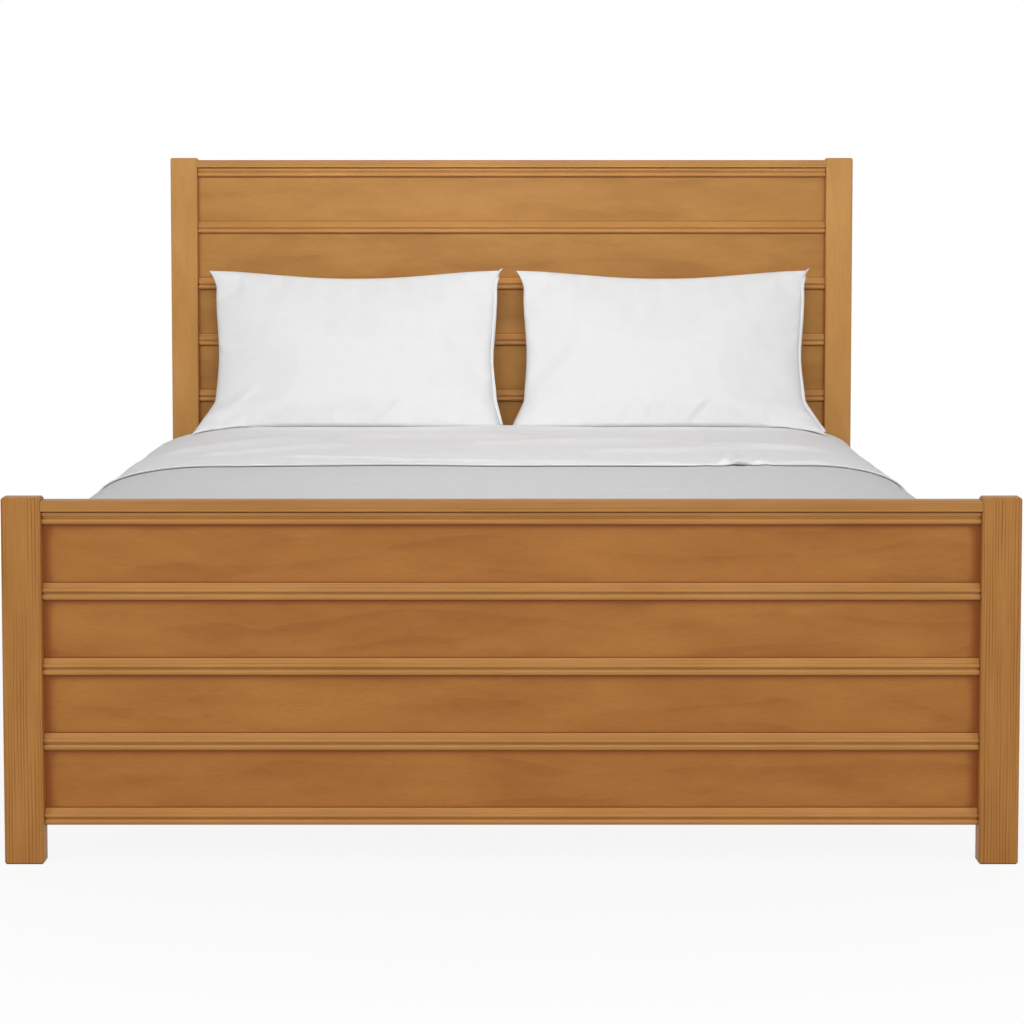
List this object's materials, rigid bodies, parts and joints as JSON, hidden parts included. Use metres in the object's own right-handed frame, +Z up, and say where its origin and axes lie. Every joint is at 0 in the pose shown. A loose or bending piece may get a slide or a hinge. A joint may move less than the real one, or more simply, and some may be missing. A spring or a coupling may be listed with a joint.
{
  "type": "platform bed",
  "caption": "Stained pine platform bed with beaded frame-and-panel headboard and footboard, slatted base on a centre beam, and a made-up mattress with blanket, turned-down sheet and pillows.",
  "frame": {"origin": "on the floor, in the middle of the bed", "axes": "+X to the right seen from the foot, +Y from foot to head, +Z up"},
  "size_m": [1.64, 2.121, 1.17],
  "materials": {
    "stained_pine": "satin stain and lacquer",
    "bare_pine": "planed, unfinished",
    "plate_steel": "zinc plated",
    "fastener_steel": "zinc plated",
    "webbing": "woven tape",
    "ticking": "woven, matt",
    "grey_blanket": "soft, matt",
    "white_cotton": "woven, matt"
  },
  "bodies": {
    "bed_frame": {"centre_leg_foot": "bare_pine", "centre_leg_head": "bare_pine", "centre_leg_middle": "bare_pine", "centre_rail": "bare_pine", "foot_cap": "stained_pine", "foot_panel_1": "stained_pine", "foot_panel_2": "stained_pine", "foot_panel_3": "stained_pine", "foot_panel_4": "stained_pine", "foot_post_left": "stained_pine", "foot_post_right": "stained_pine", "foot_rail_1": "stained_pine", "foot_rail_2": "stained_pine", "foot_rail_3": "stained_pine", "foot_rail_4": "stained_pine", "foot_rail_5": "stained_pine", "head_cap": "stained_pine", "head_panel_1": "stained_pine", "head_panel_2": "stained_pine", "head_panel_3": "stained_pine", "head_panel_4": "stained_pine", "head_panel_5": "stained_pine", "head_panel_6": "stained_pine", "head_post_left": "stained_pine", "head_post_right": "stained_pine", "head_rail_1": "stained_pine", "head_rail_2": "stained_pine", "head_rail_3": "stained_pine", "head_rail_4": "stained_pine", "head_rail_5": "stained_pine", "head_rail_6": "stained_pine", "head_rail_7": "stained_pine", "hook_plates": "plate_steel", "ledger_left": "bare_pine", "ledger_right": "bare_pine", "leg_bolts": "fastener_steel", "leg_nuts": "fastener_steel", "receiver_plates": "plate_steel", "side_rail_left": "stained_pine", "side_rail_right": "stained_pine", "slat_01": "bare_pine", "slat_02": "bare_pine", "slat_03": "bare_pine", "slat_04": "bare_pine", "slat_05": "bare_pine", "slat_06": "bare_pine", "slat_07": "bare_pine", "slat_08": "bare_pine", "slat_09": "bare_pine", "slat_10": "bare_pine", "slat_11": "bare_pine", "slat_12": "bare_pine", "slat_screws": "fastener_steel", "slat_tape_left": "webbing", "slat_tape_right": "webbing"},
    "made_mattress": {"mattress": "ticking", "blanket": "grey_blanket", "top_sheet": "white_cotton"},
    "pillow_left": {"pillow_left": "white_cotton"},
    "pillow_right": {"pillow_right": "white_cotton"}
  },
  "joints": [
    {"name": "mattress_lift", "type": "slide", "parent": "bed_frame", "child": "made_mattress", "axis": [0, 0, 1], "range_m": [0, 0.4]},
    {"name": "pillow_left_lift", "type": "slide", "parent": "made_mattress", "child": "pillow_left", "axis": [0, 0, 1], "range_m": [0, 0.3]},
    {"name": "pillow_right_lift", "type": "slide", "parent": "made_mattress", "child": "pillow_right", "axis": [0, 0, 1], "range_m": [0, 0.3]}
  ]
}
